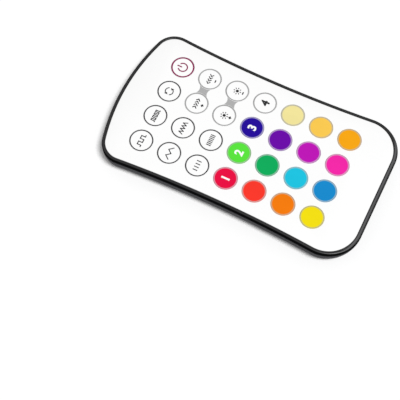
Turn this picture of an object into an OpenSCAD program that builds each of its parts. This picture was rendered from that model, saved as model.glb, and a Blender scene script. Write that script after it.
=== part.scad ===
// Slim wireless remote control with 28 flush round keys, lying on its back.
// The origin is on the resting plane, in the middle of the case; the keys face +Z and the
// power key's end is +Y.

/* [Case outline] */
// Width of the case across its top corners
body_w = 58; // [54:0.5:70]
// Length of the case
body_l = 104.4; // [102:0.1:130]
// Height of the case, from its flat back to the top of the rim
body_h = 9; // [8.6:0.1:12]
// Width of the case at its waist
waist_w = 54.8; // [53.6:0.1:57]
// Place of the waist along the case
waist_y = 0.9; // [-5:0.1:5]
// Radius of the bowed end behind the power key
top_arc_r = 85.6; // [70:0.1:140]
// Radius of the two corners at the bowed end
top_corner_r = 8.3; // [8:0.1:11]
// Radius of the two corners at the straight end
bottom_corner_r = 13.1; // [9:0.1:16]

/* [Case section] */
// Height at which the wall starts to curve in under the case
curve_z = 7.55; // [7.2:0.05:8.3]
// Half width of the ellipse that the wall follows in under the case
under_w = 3.6; // [3:0.1:8.5]
// Half height of that ellipse
under_h = 8.5; // [8.4:0.1:12]
// Height of the seam between the front frame and the back shell
seam_z = 6.9; // [6.7:0.05:7.1]
// Gap that shows as the seam
seam_gap = 0.1; // [0.05:0.01:0.2]
// Thickness of the back shell's curved wall
wall_t = 1.2; // [0.9:0.05:1.4]
// Thickness of the flat back
floor_t = 1.4; // [1.2:0.05:1.6]

/* [Front frame] */
// Width of the rim round the white face, seen from above
rim_w = 1.2; // [1:0.05:1.6]
// Width of the rim at the straight end
end_rim_w = 1.6; // [1:0.05:2]
// Rounding of the rim's outer edge
rim_outer_r = 0.5; // [0.2:0.05:0.7]
// Rounding of the rim's inner edge
rim_inner_r = 0.25; // [0.1:0.05:0.4]
// Width of the ledge under the white face, from the outside of the case
ledge_w = 4; // [3.2:0.1:4.4]
// Thickness of the ledge
ledge_t = 0.75; // [0.6:0.05:0.9]
// Thickness of the tongue that enters the back shell
tongue_t = 0.8; // [0.6:0.05:0.9]
// Length of the tongue below the seam
tongue_h = 0.9; // [0.5:0.05:1.2]
// Clearance between the tongue and the back shell's wall
tongue_gap = 0.2; // [0.15:0.01:0.3]

/* [White face] */
// Depth of the white face below the top of the rim
face_recess = 0.2; // [0.1:0.05:0.4]
// Thickness of the white face
panel_t = 1; // [0.8:0.05:1.2]
// Gap between the white face and the rim
panel_gap = 0.1; // [0.05:0.01:0.2]
// Thickness of the adhesive under the white face
adhesive_t = 0.15; // [0.1:0.01:0.25]
// Distance from the adhesive to the edges that it lies between
adhesive_margin = 0.3; // [0.1:0.05:0.6]

/* [Keys] */
// Distance between key centres, both ways
key_pitch = 11.5; // [11.3:0.05:12.5]
// Place of the power key's row along the case
first_row_y = 35.7; // [34:0.1:36]
// Radius of a key where it shows
key_r = 4.45; // [4:0.05:4.6]
// Gap round a key in the white face
key_gap = 0.08; // [0.06:0.01:0.2]
// Bevel at the edge of a key
key_bevel = 0.1; // [0.05:0.01:0.2]
// Radius of the flange that keeps a key in
flange_r = 5; // [4.8:0.05:5.1]
// Thickness of that flange
flange_t = 0.6; // [0.4:0.05:0.7]
// Gap between the flange and the white face above it
flange_gap = 0.1; // [0.05:0.01:0.15]
// Width of the tab that keeps a key from turning
tab_w = 1.2; // [0.8:0.1:1.6]
// Reach of that tab from the middle of the key
tab_reach = 6.2; // [5.8:0.1:6.6]
// Radius of the plunger under a key
plunger_r = 1.5; // [1:0.05:1.8]
// Length of the plunger below the flange
plunger_l = 0.5; // [0.4:0.05:0.7]
// Gap between the plunger and its dome
plunger_gap = 0.05; // [0.03:0.01:0.08]

/* [Key switches] */
// Radius of a snap dome
dome_r = 3; // [2.5:0.1:3.4]
// Height of a snap dome
dome_h = 0.35; // [0.3:0.01:0.45]
// Thickness of a snap dome's sheet
dome_t = 0.08; // [0.05:0.01:0.1]
// Gap round a dome in the sheet that places it
locator_gap = 0.1; // [0.05:0.01:0.2]
// Thickness of the film that holds the domes down
film_t = 0.1; // [0.05:0.01:0.15]
// Radius of the film's window over a dome
window_r = 2.6; // [2:0.05:2.8]
// Gap between the film and a dome
film_gap = 0.02; // [0.01:0.01:0.05]
// Gap round a flange and its tab in the spacer
spacer_gap = 0.2; // [0.15:0.01:0.3]
// Gap between the spacer and what it lies against
spacer_slack = 0.05; // [0.02:0.01:0.1]

/* [Circuit board] */
// Thickness of the circuit board
board_t = 0.8; // [0.6:0.05:1]
// Gap between the board and the tongue of the front frame
board_gap = 0.2; // [0.1:0.05:0.4]
// Distance from the board's edge to the edge of the dome film
film_margin = 0.6; // [0.3:0.1:1]
// Length of the control chip's body
control_chip_l = 9.9; // [6:0.1:12]
// Width of a chip's body
chip_w = 3.9; // [3.5:0.1:4.4]
// Height of a chip's body
chip_h = 1.3; // [1:0.05:1.5]
// Height of a chip's body above the board
chip_stand = 0.15; // [0.1:0.01:0.2]
// Number of leads along one side of the control chip
control_leads = 8; // [4:1:8]
// Length of the radio chip's body
radio_chip_l = 4.9; // [4:0.1:6]
// Number of leads along one side of the radio chip
radio_leads = 4; // [2:1:4]
// Distance between leads
lead_pitch = 1.27; // [1:0.01:1.27]
// Width of a lead
lead_w = 0.42; // [0.3:0.01:0.5]
// Thickness of a lead
lead_t = 0.2; // [0.15:0.01:0.25]
// Reach of a lead out of its chip
lead_reach = 1.05; // [0.8:0.05:1.2]
// Length of the crystal's can
crystal_l = 10.2; // [8:0.1:12]
// Width of the crystal's can
crystal_w = 3.8; // [3:0.1:4.4]
// Height of the crystal's can
crystal_h = 2.3; // [1.5:0.1:2.4]
// Length of a chip capacitor or resistor
passive_l = 2; // [1.6:0.1:2.4]
// Width of a chip capacitor or resistor
passive_w = 1.25; // [0.8:0.05:1.4]
// Height of a chip capacitor
capacitor_h = 0.85; // [0.6:0.05:1]
// Height of a chip resistor
resistor_h = 0.5; // [0.4:0.05:0.6]

/* [Battery] */
// Radius of the coin cell
cell_r = 10; // [9:0.1:10.1]
// Thickness of the coin cell
cell_t = 2.5; // [2:0.1:2.7]
// Place of the coin cell along the case
cell_y = -23.8; // [-25:0.1:-23]
// Gap round the coin cell
cell_gap = 0.15; // [0.1:0.01:0.25]
// Width of the ring between the cell's edge and its raised cap
cap_step = 1.3; // [0.8:0.1:2]
// Height of the raised cap
cap_h = 0.35; // [0.2:0.05:0.6]
// Thickness of the well's wall
well_t = 0.8; // [0.6:0.05:1]
// Thickness of a battery contact's sheet
contact_t = 0.3; // [0.2:0.05:0.35]
// Width of a battery contact
contact_w = 4; // [3:0.1:5]
// Length of a contact's foot on the board
foot_l = 4.5; // [3:0.1:6]
// Gap between a contact and the cell
contact_gap = 0.05; // [0.03:0.01:0.08]
// Radius of the dimple on the contact over the cell
dimple_r = 1.2; // [0.8:0.1:1.4]

/* [Battery cover] */
// Width of the cover where it shows
cover_w = 22; // [20.6:0.1:23]
// Width of the cover's runners on each side
runner_w = 1; // [0.6:0.05:1.2]
// Thickness of the part of the cover that shows
cover_skin_t = 0.65; // [0.5:0.05:0.7]
// Thickness of the runners
runner_t = 0.75; // [0.6:0.05:0.8]
// Depth of the cover below the flat back
cover_recess = 0.1; // [0.05:0.01:0.15]
// Gap round the cover
cover_gap = 0.12; // [0.1:0.01:0.15]
// Distance from the cell's well to the closed end of the cover
cover_lap = 2; // [1.4:0.1:3]
// Thickness of the deck over the runners
deck_t = 0.7; // [0.6:0.05:0.8]
// Width of the block on each side of the runners
rail_t = 1.4; // [1:0.1:1.8]
// Number of grip grooves in the cover
grip_count = 5; // [3:1:7]
// Length of a grip groove
grip_l = 10; // [6:0.5:14]
// Width of a grip groove
grip_w = 0.6; // [0.4:0.05:0.8]
// Depth of a grip groove
grip_d = 0.3; // [0.2:0.05:0.35]
// Distance between grip grooves
grip_pitch = 1.5; // [1.2:0.1:2]

/* [Fastening] */
// Distance of a screw from the middle line
screw_x = 17; // [16.5:0.1:17.5]
// Place of the screws at the bowed end
screw_top_y = 43.7; // [43.2:0.1:44]
// Place of the screws at the straight end
screw_bottom_y = -42.8; // [-43.6:0.1:-42.4]
// Radius of a screw's shank
shank_r = 0.85; // [0.7:0.05:0.9]
// Radius of a screw's head
head_r = 1.6; // [1.3:0.05:1.7]
// Height of a screw's head
head_h = 0.8; // [0.6:0.05:0.9]
// Depth of a screw's head below the flat back
head_recess = 0.4; // [0.2:0.05:0.5]
// Gap round a screw
screw_gap = 0.05; // [0.04:0.01:0.1]
// Gap round a screw's head and in the back shell's hole
clear_gap = 0.15; // [0.1:0.01:0.2]
// Width of a screw head's driving slots
slot_w = 0.4; // [0.3:0.05:0.5]
// Length of a screw head's driving slots
slot_l = 1.9; // [1.4:0.1:2]
// Depth of a screw head's driving slots
slot_d = 0.4; // [0.3:0.05:0.5]
// Radius of a boss on the front frame
frame_boss_r = 2.1; // [1.7:0.05:2.2]
// Radius of a boss on the back shell
shell_boss_r = 2.6; // [2.3:0.05:2.7]
// Height at which the two bosses meet
boss_z = 3.2; // [2.8:0.1:3.6]
// Material left above a screw
boss_roof = 0.8; // [0.6:0.05:1]
// Radius of a post that carries the board
post_r = 1.5; // [1:0.1:1.8]

/* [Magnets] */
// Radius of a holding magnet
magnet_r = 5; // [3:0.1:5.5]
// Thickness of a holding magnet
magnet_t = 1.5; // [1:0.1:1.6]
// Material left under a magnet
magnet_skin = 0.8; // [0.6:0.05:1]
// Thickness of the collar round a magnet
collar_t = 0.8; // [0.6:0.05:1]
// Height of the collar above the flat back's inside
collar_h = 0.6; // [0.4:0.05:0.8]
// Gap round a magnet
magnet_gap = 0.1; // [0.05:0.01:0.2]

/* [Hidden] */
KEYS = [
    ["key_jump_3", "key_jump_7", "key_auto", "key_power"],
    ["key_fade_3", "key_fade_7", "key_speed_up", "key_speed_down"],
    ["key_flash_3", "key_flash_7", "key_bright_up", "key_bright_down"],
    ["key_red", "key_green", "key_blue", "key_white"],
    ["key_scarlet", "key_emerald", "key_purple", "key_cream"],
    ["key_orange", "key_cyan", "key_magenta", "key_amber"],
    ["key_yellow", "key_azure", "key_pink", "key_gold"]
];
$fn = 64;

// Colours of the keys, row by row
KEY_COLOURS = [
    ["white", "white", "white", "white"],
    ["white", "white", "white", "white"],
    ["white", "white", "white", "white"],
    ["#e80541", "#58e23c", "#200096", "white"],
    ["#f83628", "#06aa5a", "#6800a5", "#f1e49b"],
    ["#f37a01", "#19c2df", "#bc10b5", "#f9c950"],
    ["#f3df09", "#1289cc", "#f225a7", "#f6a60d"]
];

// One overrun serves every cut
cut = 1;
row_count = len(KEYS);
column_count = len(KEYS[0]);

// The outline is a chain of arcs that touch: end arc, corner, side, corner, straight end.
// A waist wider than the top corners turns the side's radius, and its centre, the other way.
top_y = body_l / 2;
bottom_y = -body_l / 2;
end_c = [0, top_y - top_arc_r];
top_corner_x = body_w / 2 - top_corner_r;
top_corner_c = [top_corner_x, end_c.y + sqrt(pow(top_arc_r - top_corner_r, 2) - pow(top_corner_x, 2))];
waist_sag = (body_w - waist_w) / 2;
side_r = (pow(top_corner_c.y - waist_y, 2) - waist_sag * (2 * top_corner_r - waist_sag))
    / (2 * waist_sag);
side_c = [waist_w / 2 + side_r, waist_y];
bend = sign(side_r);
bottom_corner_y = bottom_y + bottom_corner_r;
bottom_corner_c = [
    side_c.x - bend * sqrt(pow(side_r + bottom_corner_r, 2) - pow(bottom_corner_y - waist_y, 2)),
    bottom_corner_y
];
end_angle = heading(top_corner_c - end_c);
side_top_angle = heading(bend * (top_corner_c - side_c));
side_bottom_angle = heading(bend * (bottom_corner_c - side_c));

// Steps along each arc of the outline, along the curve and roundings of the section, and along
// a dome
end_steps = 7;
corner_steps = 10;
side_steps = 12;
under_steps = 8;
rounding_steps = 4;
dome_steps = 4;

// Heights, from the face down and from the back up
face_z = body_h - face_recess;
panel_bottom = face_z - panel_t;
ledge_z = panel_bottom - adhesive_t;
flange_top = panel_bottom - flange_gap;
flange_bottom = flange_top - flange_t;
plunger_z = flange_bottom - plunger_l;
board_top = plunger_z - plunger_gap - dome_h;
board_bottom = board_top - board_t;
film_z = board_top + dome_point(dome_r, dome_h, window_r / dome_r).y + film_gap;
film_top = film_z + film_t;
runner_z = cover_recess + cover_skin_t;
cover_top = runner_z + runner_t;
slot_top = cover_top + cover_gap;
deck_top = slot_top + deck_t;
cell_z = slot_top;
cell_top = cell_z + cell_t;
pilot_top = ledge_z - boss_roof;

// Plan sizes
tongue_x = wall_t + tongue_gap;
board_inset = tongue_x + tongue_t + board_gap;
key_reach = flange_r + spacer_gap;
boss_hole_r = frame_boss_r + board_gap;
window_top = screw_top_y - boss_hole_r;
window_bottom = screw_bottom_y + boss_hole_r;
well_r = cell_r + cell_gap;
cover_end_y = cell_y + well_r + well_t + cover_lap;
screws = [
    [screw_x, screw_top_y],
    [-screw_x, screw_top_y],
    [screw_x, screw_bottom_y],
    [-screw_x, screw_bottom_y]
];
// Posts stand between the keys, clear of the magnets and the battery well
post_x = 1.5 * key_pitch + key_pitch / 8;
posts = [for (row = [0.5, 2.5, 4.5]) for (side = [-1, 1]) [side * post_x, row_y(row)]];
magnets = [[0, row_y(0)], [0, row_y(3)]];
crystal_at = [-key_pitch, row_y(1)];
control_at = [-key_pitch, row_y(2.2)];
radio_at = [key_pitch, row_y(1)];
capacitors_at = [for (i = [0:5]) [key_pitch / 2 * (1 + i % 3), row_y(2 + 0.3 * floor(i / 3))]];
resistors_at = [for (i = [0:3]) [key_pitch / 2 * (i - 3), row_y(3)]];

function heading(v) = (atan2(v.y, v.x) + 360) % 360;
function row_y(row) = first_row_y - row * key_pitch;
function column_x(column) = (column - (column_count - 1) / 2) * key_pitch;

// A point of a dome's section at a share of its radius
function dome_point(r, h, share) = [r * share, h * (1 - pow(share, 2))];

function on_circle(centre, r, angle) = centre + r * [cos(angle), sin(angle)];

// Points from one angle to another on a circle
function arc(centre, r, from, to, steps) =
    [for (i = [0:steps]) on_circle(centre, r, from + (to - from) * i / steps)];

// The rim widens towards the straight end, so what lies inside it moves up there
function raised(p, inset) =
    let (share = max(0, (bottom_corner_c.y - p.y) / (bottom_corner_r - inset)))
        p + [0, (end_rim_w - rim_w) * min(inset / rim_w, 1) * share];

// The right half of the outline moved in by a distance, from the straight end to the bowed one
function outline_half(inset) = concat(
    [for (p = arc(bottom_corner_c, bottom_corner_r - inset, -90, side_bottom_angle - 180,
        corner_steps)) raised(p, inset)],
    inner_points(arc(side_c, side_r + inset, side_bottom_angle, side_top_angle, side_steps)),
    arc(top_corner_c, top_corner_r - inset, side_top_angle - 180, 0, 1),
    inner_points(arc(top_corner_c, top_corner_r - inset, 0, end_angle, corner_steps)),
    [on_circle(top_corner_c, top_corner_r - inset, end_angle)],
    inner_points(arc(end_c, top_arc_r - inset, end_angle, 90, end_steps))
);

// A run of points without its two ends
function inner_points(points) = [for (i = [1:len(points) - 2]) points[i]];

// The whole outline, anticlockwise seen from the face
function outline_points(inset) =
    let (half = outline_half(inset))
        concat(
            half,
            [on_circle(end_c, top_arc_r - inset, 90)],
            [for (i = [len(half) - 1:-1:0]) [-half[i].x, half[i].y]]
        );

// Points of the curve under the case, or inside it at a depth: how far in from the outline, and
// how high
function under_arc(depth, z_from, z_to, steps) =
    let (reach = under_h - depth)
        let (from = asin((curve_z - z_from) / reach), to = asin((curve_z - z_to) / reach))
            [for (i = [0:steps])
                let (angle = from + (to - from) * i / steps)
                    [under_w - (under_w - depth) * cos(angle), curve_z - reach * sin(angle)]];

// The rim's rounded edges, outer and inner, each from the outside inwards
function outer_rounding() =
    [for (i = [0:rounding_steps])
        let (angle = 90 * i / rounding_steps)
            [rim_outer_r * (1 - cos(angle)), body_h - rim_outer_r * (1 - sin(angle))]];
function inner_rounding() =
    [for (i = [0:rounding_steps])
        let (angle = 90 * i / rounding_steps)
            [rim_w - rim_inner_r * (1 - sin(angle)), body_h - rim_inner_r * (1 - cos(angle))]];

// A solid whose side follows a section all round the outline, closed across at both ends.
// A point of the section is how far in from the outline, then how high.
module loft(section) {
    levels = [for (p = section) [for (q = outline_points(p.x)) [q.x, q.y, p.y]]];
    count = len(levels[0]);
    last = len(levels) - 1;
    first_middle = count * len(levels);
    last_middle = first_middle + 1;
    polyhedron(
        points = concat(
            [for (level = levels) each level],
            [[0, 0, section[0].y], [0, 0, section[last].y]]
        ),
        faces = [
            for (i = [0:count - 1])
                let (next = (i + 1) % count)
                    each concat(
                        [for (j = [0:last - 1])
                            [j * count + i, (j + 1) * count + i, (j + 1) * count + next]],
                        [for (j = [0:last - 1])
                            [j * count + i, (j + 1) * count + next, j * count + next]],
                        [[first_middle, i, next]],
                        [[last_middle, last * count + next, last * count + i]]
                    )
        ]
    );
}

module outline(inset) {
    polygon(outline_points(inset));
}

// The part of the case's plan between two places along it
module across(y_low, y_high) {
    translate([-body_w / 2, y_low])
        square([body_w, y_high - y_low]);
}

// Gives a flat shape its thickness
module slab(z_low, z_high) {
    translate([0, 0, z_low])
        linear_extrude(z_high - z_low)
            children();
}

module at_keys() {
    for (row = [0:row_count - 1])
        for (column = [0:column_count - 1])
            translate([column_x(column), row_y(row), 0])
                children();
}

module at_each(places) {
    for (place = places)
        translate(place)
            children();
}

module disc(r, z_low, z_high) {
    translate([0, 0, z_low])
        cylinder(r = r, h = z_high - z_low);
}

module ring(r, hole_r, z_low, z_high) {
    difference() {
        disc(r, z_low, z_high);
        disc(hole_r, z_low - cut, z_high + cut);
    }
}

// A block centred on the middle line
module bar(width, y_low, y_high, z_low, z_high) {
    translate([-width / 2, y_low, z_low])
        cube([width, y_high - y_low, z_high - z_low]);
}

module case_solid(z_low, z_high) {
    loft(under_arc(0, z_low, z_high, under_steps));
}

module shell_wall() {
    shell_top = seam_z - seam_gap;
    loft(concat(
        under_arc(0, 0, shell_top, under_steps),
        under_arc(wall_t, shell_top, floor_t, under_steps)
    ));
}

module cover_rails() {
    rail_w = cover_w + 2 * (runner_w + cover_gap + rail_t);
    intersection() {
        case_solid(0, deck_top);
        bar(rail_w, bottom_y, cover_end_y + rail_t, 0, deck_top);
    }
}

module cover_slot() {
    bar(cover_w + 2 * cover_gap, bottom_y - cut, cover_end_y + cover_gap, -cut, slot_top);
    bar(cover_w + 2 * (runner_w + cover_gap), bottom_y - cut, cover_end_y + cover_gap,
        runner_z - cover_gap, slot_top);
}

module back_shell() {
    color("#16171a")
        difference() {
            union() {
                shell_wall();
                cover_rails();
                translate([0, cell_y, 0])
                    disc(well_r + well_t, slot_top, cell_top);
                at_each(screws)
                    disc(shell_boss_r, 0, boss_z);
                at_each(posts)
                    disc(post_r, 0, board_bottom);
                at_each(magnets)
                    ring(magnet_r + magnet_gap + collar_t, magnet_r + magnet_gap,
                        floor_t / 2, floor_t + collar_h);
            }
            cover_slot();
            translate([0, cell_y, 0])
                disc(well_r, runner_z, cell_top + cut);
            bar(contact_w + 2 * cover_gap, cell_y, cell_y + well_r + well_t + cut,
                deck_top, cell_top + cut);
            at_each(screws) {
                disc(head_r + clear_gap, -cut, head_recess + head_h);
                disc(shank_r + clear_gap, -cut, boss_z + cut);
            }
            at_each(magnets)
                disc(magnet_r + magnet_gap, magnet_skin, floor_t + collar_h + cut);
        }
}

module frame_window() {
    slab(ledge_z - ledge_t - cut, ledge_z + cut)
        intersection() {
            outline(ledge_w);
            across(window_bottom, window_top);
        }
}

module frame_ring() {
    tongue_in = tongue_x + tongue_t;
    loft(concat(
        [
            [tongue_in, ledge_z - ledge_t],
            [tongue_in, seam_z - tongue_h],
            [tongue_x, seam_z - tongue_h],
            [tongue_x, seam_z]
        ],
        under_arc(0, seam_z, curve_z, rounding_steps),
        outer_rounding(),
        inner_rounding(),
        [[rim_w, ledge_z]]
    ));
}

module front_frame() {
    color("#0c0d0f")
        difference() {
            union() {
                frame_ring();
                at_each(screws)
                    disc(frame_boss_r, boss_z, ledge_z - ledge_t / 2);
            }
            frame_window();
            at_each(screws)
                disc(shank_r + screw_gap, boss_z - cut, pilot_top);
        }
}

module face_panel() {
    color("#f7f7f5")
        slab(panel_bottom, face_z)
            difference() {
                outline(rim_w + panel_gap);
                at_keys()
                    circle(key_r + key_gap);
            }
}

module panel_adhesive() {
    color("#d8d4c0")
        slab(ledge_z, panel_bottom)
            difference() {
                outline(rim_w + adhesive_margin);
                outline(ledge_w - adhesive_margin);
            }
}

// The tab's plan, pointing between two neighbours
module tab(width, reach) {
    rotate(45)
        translate([0, -width / 2])
            square([reach, width]);
}

module spacer_sheet() {
    color("#9aa0a6")
        slab(film_top, panel_bottom - spacer_slack)
            difference() {
                intersection() {
                    outline(ledge_w + spacer_gap);
                    across(window_bottom + spacer_gap, window_top - spacer_gap);
                }
                at_keys() {
                    circle(key_reach);
                    tab(tab_w + 2 * spacer_gap, tab_reach + spacer_gap);
                }
            }
}

// A sheet on the board under all the keys, with a round hole over each dome
module key_sheet(hole_r) {
    difference() {
        intersection() {
            outline(board_inset + film_margin);
            across(window_bottom, window_top);
        }
        at_keys()
            circle(hole_r);
    }
}

module dome_film() {
    color("#e3c98f")
        slab(film_z, film_top)
            key_sheet(window_r);
}

module dome_locator() {
    color("#c9b682")
        slab(board_top, film_z)
            key_sheet(dome_r + locator_gap);
}

// A shallow metal dome: a thin section turned about its middle
module snap_dome() {
    inner_r = dome_r - 2 * dome_t;
    translate([0, 0, board_top])
        rotate_extrude()
            polygon(concat(
                [for (i = [0:dome_steps]) dome_point(dome_r, dome_h, i / dome_steps)],
                [for (i = [dome_steps:-1:0]) dome_point(inner_r, dome_h - dome_t, i / dome_steps)]
            ));
}

module snap_domes() {
    color("#c8ccd0")
        at_keys()
            snap_dome();
}

module circuit_board() {
    color("#1f6b3a")
        slab(board_bottom, board_top)
            difference() {
                outline(board_inset);
                at_each(screws)
                    circle(boss_hole_r);
            }
}

// A moulded chip under the board, with bent leads along both sides
module chip(length, leads) {
    body_top = board_bottom - chip_stand;
    lead_z = body_top - chip_h / 2;
    translate([-length / 2, -chip_w / 2, body_top - chip_h])
        cube([length, chip_w, chip_h]);
    for (side = [0, 1])
        for (i = [0:leads - 1])
            mirror([0, side, 0])
                translate([(i - (leads - 1) / 2) * lead_pitch - lead_w / 2, chip_w / 2, 0])
                    rotate([90, 0, 90])
                        linear_extrude(lead_w)
                            polygon([
                                [-lead_t, lead_z - lead_t / 2],
                                [lead_reach / 2, lead_z - lead_t / 2],
                                [lead_reach / 2, board_bottom - lead_t],
                                [lead_reach, board_bottom - lead_t],
                                [lead_reach, board_bottom],
                                [lead_reach / 2 - lead_t, board_bottom],
                                [lead_reach / 2 - lead_t, lead_z + lead_t / 2],
                                [-lead_t, lead_z + lead_t / 2]
                            ]);
}

module control_chip() {
    color("#202224")
        translate(control_at)
            chip(control_chip_l, control_leads);
}

module radio_chip() {
    color("#202224")
        translate(radio_at)
            chip(radio_chip_l, radio_leads);
}

module crystal() {
    straight = crystal_l - crystal_w;
    color("#b9bcc0")
        translate(crystal_at) {
            translate([-straight / 2, 0, 0])
                disc(crystal_w / 2, board_bottom - crystal_h, board_bottom);
            translate([straight / 2, 0, 0])
                disc(crystal_w / 2, board_bottom - crystal_h, board_bottom);
            translate([-straight / 2, -crystal_w / 2, board_bottom - crystal_h])
                cube([straight, crystal_w, crystal_h]);
        }
}

module passive(height) {
    translate([-passive_w / 2, -passive_l / 2, board_bottom - height])
        cube([passive_w, passive_l, height]);
}

module chip_capacitors() {
    color("#a98c62")
        at_each(capacitors_at)
            passive(capacitor_h);
}

module chip_resistors() {
    color("#1b1b1f")
        at_each(resistors_at)
            passive(resistor_h);
}

// An upright spring leg against the cell's rim, bent over to a foot on the board
module positive_contact() {
    leg_y = cell_y + cell_r + contact_gap;
    color("#d9d4b8")
        rotate([90, 0, 90])
            translate([0, 0, -contact_w / 2])
                linear_extrude(contact_w)
                    polygon([
                        [leg_y, deck_top + contact_gap],
                        [leg_y + contact_t, deck_top + contact_gap],
                        [leg_y + contact_t, board_bottom - contact_t],
                        [leg_y + foot_l, board_bottom - contact_t],
                        [leg_y + foot_l, board_bottom],
                        [leg_y, board_bottom]
                    ]);
}

// A leaf from its foot on the board down to the raised cap of the cell
module negative_contact() {
    tip_z = cell_top + contact_gap + contact_t;
    bend_y = cell_y - cell_r / 2;
    foot_y = bend_y - foot_l;
    color("#d9d4b8") {
        rotate([90, 0, 90])
            translate([0, 0, -contact_w / 2])
                linear_extrude(contact_w)
                    polygon([
                        [foot_y, board_bottom],
                        [bend_y, board_bottom],
                        [cell_y, tip_z + contact_t],
                        [cell_y + contact_w / 2, tip_z + contact_t],
                        [cell_y + contact_w / 2, tip_z],
                        [cell_y, tip_z],
                        [bend_y, board_bottom - contact_t],
                        [foot_y, board_bottom - contact_t]
                    ]);
        translate([0, cell_y + contact_t, tip_z - contact_t])
            cylinder(r1 = dimple_r / 2, r2 = dimple_r, h = contact_t);
    }
}

module coin_cell() {
    color("#c3c6c9")
        translate([0, cell_y, 0]) {
            disc(cell_r, cell_z, cell_top - cap_h);
            disc(cell_r - cap_step, cell_top - cap_h - cap_h, cell_top);
        }
}

module battery_cover() {
    color("#16171a")
        difference() {
            intersection() {
                case_solid(cover_recess, cover_top);
                union() {
                    bar(cover_w, bottom_y, cover_end_y, 0, cover_top);
                    bar(cover_w + 2 * runner_w, bottom_y, cover_end_y, runner_z, cover_top);
                }
            }
            for (i = [0:grip_count - 1])
                bar(grip_l, cover_end_y - (i + 2) * grip_pitch,
                    cover_end_y - (i + 2) * grip_pitch + grip_w, -cut, cover_recess + grip_d);
        }
}

// A flat head with a cross slot, and a plain shank
module screw() {
    difference() {
        union() {
            disc(head_r, head_recess, head_recess + head_h);
            disc(shank_r, head_recess, pilot_top - screw_gap);
        }
        for (turn = [0, 90])
            rotate([0, 0, turn])
                translate([-slot_l / 2, -slot_w / 2, head_recess - cut])
                    cube([slot_l, slot_w, slot_d + cut]);
    }
}

module case_screws() {
    color("#8d9094")
        at_each(screws)
            screw();
}

module holding_magnets() {
    color("#a7abb0")
        at_each(magnets)
            disc(magnet_r, magnet_skin, magnet_skin + magnet_t);
}

// A round cap over a flange with a tab, and a plunger down to the dome
module key(row, column) {
    color(KEY_COLOURS[row][column])
        translate([column_x(column), row_y(row), 0]) {
            rotate_extrude()
                polygon([
                    [0, plunger_z],
                    [plunger_r, plunger_z],
                    [plunger_r, flange_bottom],
                    [flange_r, flange_bottom],
                    [flange_r, flange_top],
                    [key_r, flange_top],
                    [key_r, face_z - key_bevel],
                    [key_r - key_bevel, face_z],
                    [0, face_z]
                ]);
            slab(flange_bottom, flange_top)
                tab(tab_w, tab_reach);
        }
}

back_shell();
front_frame();
face_panel();
panel_adhesive();
spacer_sheet();
dome_film();
dome_locator();
snap_domes();
circuit_board();
control_chip();
radio_chip();
crystal();
chip_capacitors();
chip_resistors();
positive_contact();
negative_contact();
coin_cell();
battery_cover();
case_screws();
holding_magnets();
for (row = [0:row_count - 1])
    for (column = [0:column_count - 1])
        key(row, column);
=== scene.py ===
import math

import bmesh
import bpy
from mathutils import Matrix, Vector


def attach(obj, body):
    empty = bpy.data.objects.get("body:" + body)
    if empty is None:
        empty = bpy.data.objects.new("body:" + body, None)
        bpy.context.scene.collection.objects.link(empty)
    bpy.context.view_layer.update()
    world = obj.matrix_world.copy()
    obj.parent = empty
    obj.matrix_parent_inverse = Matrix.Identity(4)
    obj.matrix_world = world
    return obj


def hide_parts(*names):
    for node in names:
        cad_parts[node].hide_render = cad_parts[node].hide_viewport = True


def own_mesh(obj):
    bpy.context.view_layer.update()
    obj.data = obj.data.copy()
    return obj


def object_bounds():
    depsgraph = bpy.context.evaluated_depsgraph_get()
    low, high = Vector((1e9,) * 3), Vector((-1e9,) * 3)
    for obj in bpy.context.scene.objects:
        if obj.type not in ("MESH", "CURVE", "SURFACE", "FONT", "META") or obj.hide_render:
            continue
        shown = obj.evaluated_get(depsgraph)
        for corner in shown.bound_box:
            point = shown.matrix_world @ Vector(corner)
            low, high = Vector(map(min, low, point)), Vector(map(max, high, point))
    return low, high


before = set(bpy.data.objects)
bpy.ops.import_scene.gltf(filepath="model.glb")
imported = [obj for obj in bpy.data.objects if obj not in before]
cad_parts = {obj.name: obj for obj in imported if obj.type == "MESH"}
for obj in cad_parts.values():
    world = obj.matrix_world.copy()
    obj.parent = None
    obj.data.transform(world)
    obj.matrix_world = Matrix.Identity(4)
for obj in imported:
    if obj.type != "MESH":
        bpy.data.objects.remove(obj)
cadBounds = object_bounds()
mm = 0.001
hair = 0.001  # mm, the least distance between points that stay apart
overrun = 1  # mm, how far a cut runs past what it cuts
smallSteps, usualSteps, largeSteps = 48, 96, 128  # round a circle
low, high = (corner / mm for corner in cadBounds)


def show(thing):
    bpy.context.scene.collection.objects.link(thing)


# Camera, worked out from the places of the key rings in the photo

photoCamera = {
    "place": (-169.54, -58.20, 373.90),
    "turn": (22.899, -0.668, -63.940),
    "lens": 98.65,
    "sensor": 36,
    "nearest": 20,
    "furthest": 4000,
}

cameraData = bpy.data.cameras.new("photoCamera")
cameraData.lens = photoCamera["lens"]
cameraData.sensor_width = photoCamera["sensor"]
cameraData.clip_start = photoCamera["nearest"] * mm
cameraData.clip_end = photoCamera["furthest"] * mm
camera = bpy.data.objects.new("photoCamera", cameraData)
camera.location = Vector(photoCamera["place"]) * mm
camera.rotation_euler = [math.radians(angle) for angle in photoCamera["turn"]]
show(camera)
bpy.context.scene.camera = camera
print("camera placed")


# Finishes

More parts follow.
